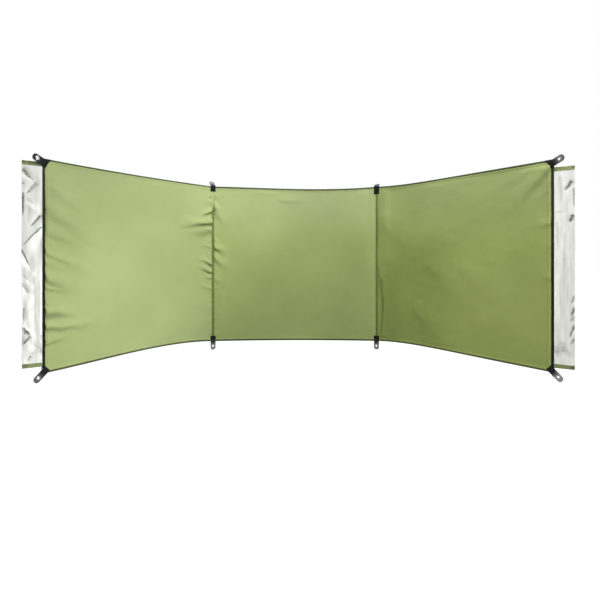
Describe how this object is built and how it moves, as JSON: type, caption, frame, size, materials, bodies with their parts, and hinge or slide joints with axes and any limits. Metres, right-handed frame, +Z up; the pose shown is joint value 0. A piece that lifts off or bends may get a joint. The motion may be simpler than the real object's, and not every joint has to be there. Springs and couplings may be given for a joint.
{
  "type": "beach windbreak",
  "caption": "Free-standing cloth windbreak in bays between upright poles, outer bays turned forward, with webbing tabs and eyelets at the pole lines and a silver flap at each end.",
  "frame": {"origin": "on the ground, under the middle of the box round the whole windbreak", "axes": "+X along the middle bay to the right as seen from the sheltered side, +Y to the windward back, +Z up"},
  "size_m": [2.8566, 1.0271, 1.234],
  "materials": {
    "cloth_green": "plain-woven polyester, light olive green, slight sheen",
    "binding_olive": "narrow dark olive binding tape",
    "webbing_black": "ribbed black webbing",
    "cloth_silver": "silver-coated cloth, creased",
    "pole_steel": "galvanised",
    "eyelet_nickel": "nickel plated"
  },
  "bodies": {
    "root": {"left_panel": "cloth_green", "middle_panel": "cloth_green", "right_panel": "cloth_green", "left_seam_band": "cloth_green", "right_seam_band": "cloth_green", "left_top_binding": "binding_olive", "middle_top_binding": "binding_olive", "right_top_binding": "binding_olive", "left_bottom_binding": "binding_olive", "middle_bottom_binding": "binding_olive", "right_bottom_binding": "binding_olive", "left_end_tape": "binding_olive", "right_end_tape": "binding_olive", "left_corner_patches": "webbing_black", "right_corner_patches": "webbing_black", "left_end_top_tab": "webbing_black", "left_seam_top_tab": "webbing_black", "right_seam_top_tab": "webbing_black", "right_end_top_tab": "webbing_black", "left_end_bottom_tab": "webbing_black", "left_seam_bottom_tab": "webbing_black", "right_seam_bottom_tab": "webbing_black", "right_end_bottom_tab": "webbing_black", "left_flap": "cloth_silver", "right_flap": "cloth_silver", "left_end_sleeve": "cloth_silver", "left_seam_sleeve": "cloth_silver", "right_seam_sleeve": "cloth_silver", "right_end_sleeve": "cloth_silver", "left_end_pole": "pole_steel", "left_seam_pole": "pole_steel", "right_seam_pole": "pole_steel", "right_end_pole": "pole_steel", "left_end_spike": "pole_steel", "left_seam_spike": "pole_steel", "right_seam_spike": "pole_steel", "right_end_spike": "pole_steel", "left_end_top_eyelet": "eyelet_nickel", "left_seam_top_eyelet": "eyelet_nickel", "right_seam_top_eyelet": "eyelet_nickel", "right_end_top_eyelet": "eyelet_nickel", "left_end_bottom_eyelet": "eyelet_nickel", "left_seam_bottom_eyelet": "eyelet_nickel", "right_seam_bottom_eyelet": "eyelet_nickel", "right_end_bottom_eyelet": "eyelet_nickel"}
  },
  "joints": []
}
